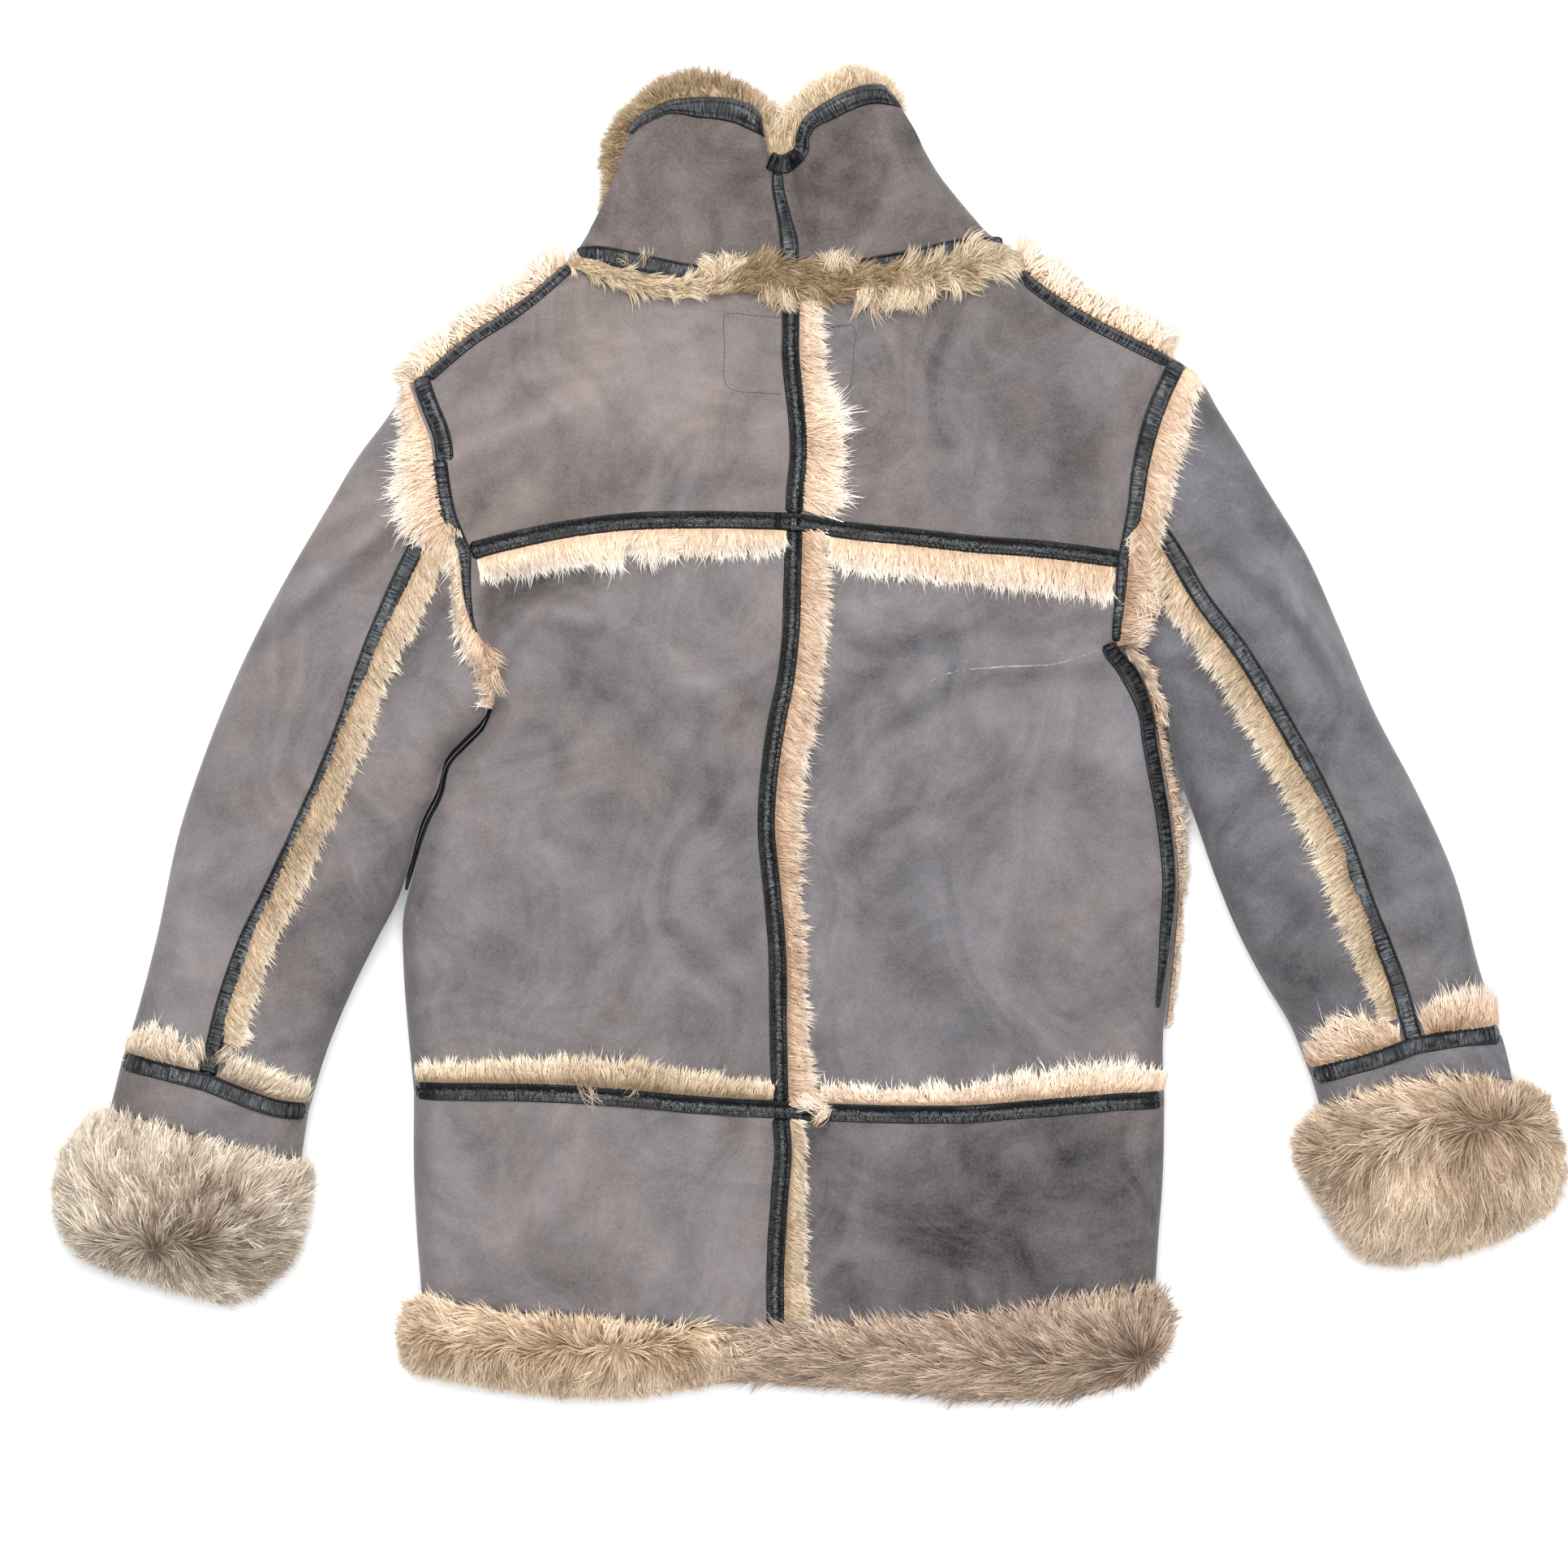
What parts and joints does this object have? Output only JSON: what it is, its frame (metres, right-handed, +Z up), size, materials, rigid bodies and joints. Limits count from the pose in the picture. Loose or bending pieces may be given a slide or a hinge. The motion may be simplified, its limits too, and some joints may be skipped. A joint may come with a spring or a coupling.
{
  "type": "shearling coat",
  "caption": "Hip-length suede shearling coat lying face down, with leather tapes over its seams, fur strips beside them, and a tall collar, cuffs and hem of fur.",
  "frame": {"origin": "middle of the lying coat on the surface it rests on", "axes": "+X across the coat to the right as its back is seen, +Y towards the collar, +Z up from the surface, out of the coat's back"},
  "size_m": [0.9918, 0.8763, 0.066],
  "materials": {
    "suede": "taupe-grey suede, matt and softly mottled",
    "leather_tape": "black grained leather, slightly glossy",
    "cream_fur": "short cream shearling pile",
    "brown_fur": "long tan-brown fur with pale tips"
  },
  "bodies": {
    "root": {"back_hem_left": "suede", "back_hem_right": "suede", "back_main_left": "suede", "back_main_right": "suede", "back_yoke_left": "suede", "back_yoke_right": "suede", "collar_back_left": "suede", "collar_back_right": "suede", "collar_front_left": "suede", "collar_front_right": "suede", "cuff_left": "suede", "cuff_right": "suede", "front_left": "suede", "front_right": "suede", "fur_armhole_left": "cream_fur", "fur_armhole_right": "cream_fur", "fur_centre_hem": "cream_fur", "fur_centre_main": "cream_fur", "fur_centre_yoke": "cream_fur", "fur_collar": "cream_fur", "fur_cuff_left": "brown_fur", "fur_cuff_right": "brown_fur", "fur_cuff_seam_left_inner": "cream_fur", "fur_cuff_seam_left_outer": "cream_fur", "fur_cuff_seam_right_inner": "cream_fur", "fur_cuff_seam_right_outer": "cream_fur", "fur_hem_left": "brown_fur", "fur_hem_right": "brown_fur", "fur_hip_left": "cream_fur", "fur_hip_right": "cream_fur", "fur_neck": "cream_fur", "fur_shoulder_left": "cream_fur", "fur_shoulder_right": "cream_fur", "fur_side_right": "cream_fur", "fur_sleeve_left": "cream_fur", "fur_sleeve_right": "cream_fur", "fur_yoke_left": "cream_fur", "fur_yoke_right": "cream_fur", "sleeve_left_inner": "suede", "sleeve_left_outer": "suede", "sleeve_right_inner": "suede", "sleeve_right_outer": "suede", "tape_armhole_left": "leather_tape", "tape_armhole_right": "leather_tape", "tape_centre_hem": "leather_tape", "tape_centre_main": "leather_tape", "tape_centre_yoke": "leather_tape", "tape_collar_centre": "leather_tape", "tape_collar_edge_left": "leather_tape", "tape_collar_edge_right": "leather_tape", "tape_cuff_left": "leather_tape", "tape_cuff_right": "leather_tape", "tape_hip": "leather_tape", "tape_neck": "leather_tape", "tape_shoulder_left": "leather_tape", "tape_shoulder_right": "leather_tape", "tape_side_right": "leather_tape", "tape_sleeve_left": "leather_tape", "tape_sleeve_right": "leather_tape", "tape_yoke": "leather_tape"}
  },
  "joints": []
}
